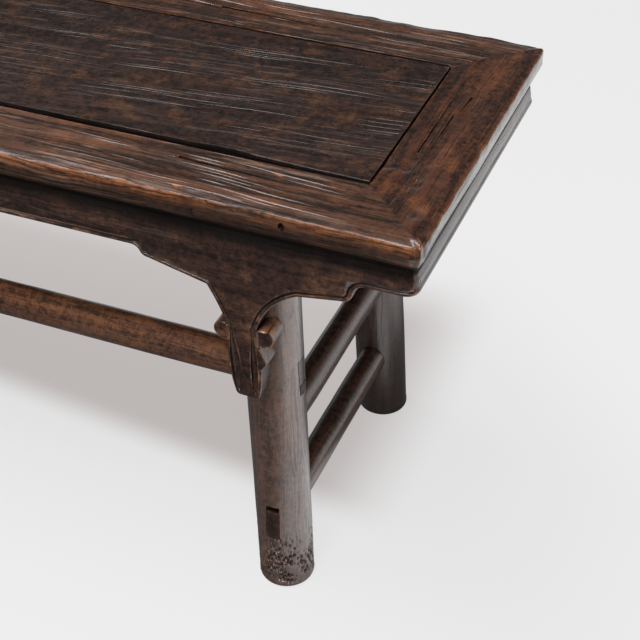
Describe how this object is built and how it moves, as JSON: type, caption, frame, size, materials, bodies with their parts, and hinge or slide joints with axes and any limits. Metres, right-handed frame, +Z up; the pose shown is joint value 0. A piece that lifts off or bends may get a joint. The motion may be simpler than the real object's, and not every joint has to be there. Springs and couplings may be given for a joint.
{
  "type": "wooden bench",
  "caption": "Long wooden bench with a mitred frame-and-panel seat on splayed round legs, shaped aprons with hanging spandrels, and oval stretchers.",
  "frame": {"origin": "on the floor under the middle of the bench", "axes": "+X along the bench towards its right end seen from the front, +Y from front to back, +Z up"},
  "size_m": [1.2, 0.375, 0.48],
  "materials": {
    "seat_rails": "dark worn lacquer over raised grain, orange-brown wood showing along the edges",
    "end_rails": "dark worn lacquer, smoother grain than the long rails",
    "seat_panel": "dull dark lacquer with raised weathered grain and one long check",
    "aprons": "dark satin lacquer, lighter wear along the lower bead",
    "legs": "dark satin lacquer, fine upright grain, pitted near the floor",
    "stretchers": "dark satin lacquer with orange-brown wear on top",
    "hidden_wood": "bare dusty brown wood",
    "pegs_and_wedges": "dark end grain"
  },
  "bodies": {
    "root": {"top_rail_front": "seat_rails", "top_rail_back": "seat_rails", "top_rail_right": "end_rails", "top_rail_left": "end_rails", "top_panel": "seat_panel", "panel_batten_left": "hidden_wood", "panel_batten_centre": "hidden_wood", "panel_batten_right": "hidden_wood", "apron_front": "aprons", "apron_back": "aprons", "apron_right": "aprons", "apron_left": "aprons", "leg_front_right": "legs", "leg_front_left": "legs", "leg_back_right": "legs", "leg_back_left": "legs", "stretcher_front": "stretchers", "stretcher_back": "stretchers", "side_stretcher_right_lower": "stretchers", "side_stretcher_right_upper": "stretchers", "side_stretcher_left_lower": "stretchers", "side_stretcher_left_upper": "stretchers", "stretcher_wedges": "pegs_and_wedges", "apron_pegs": "pegs_and_wedges"}
  },
  "joints": []
}
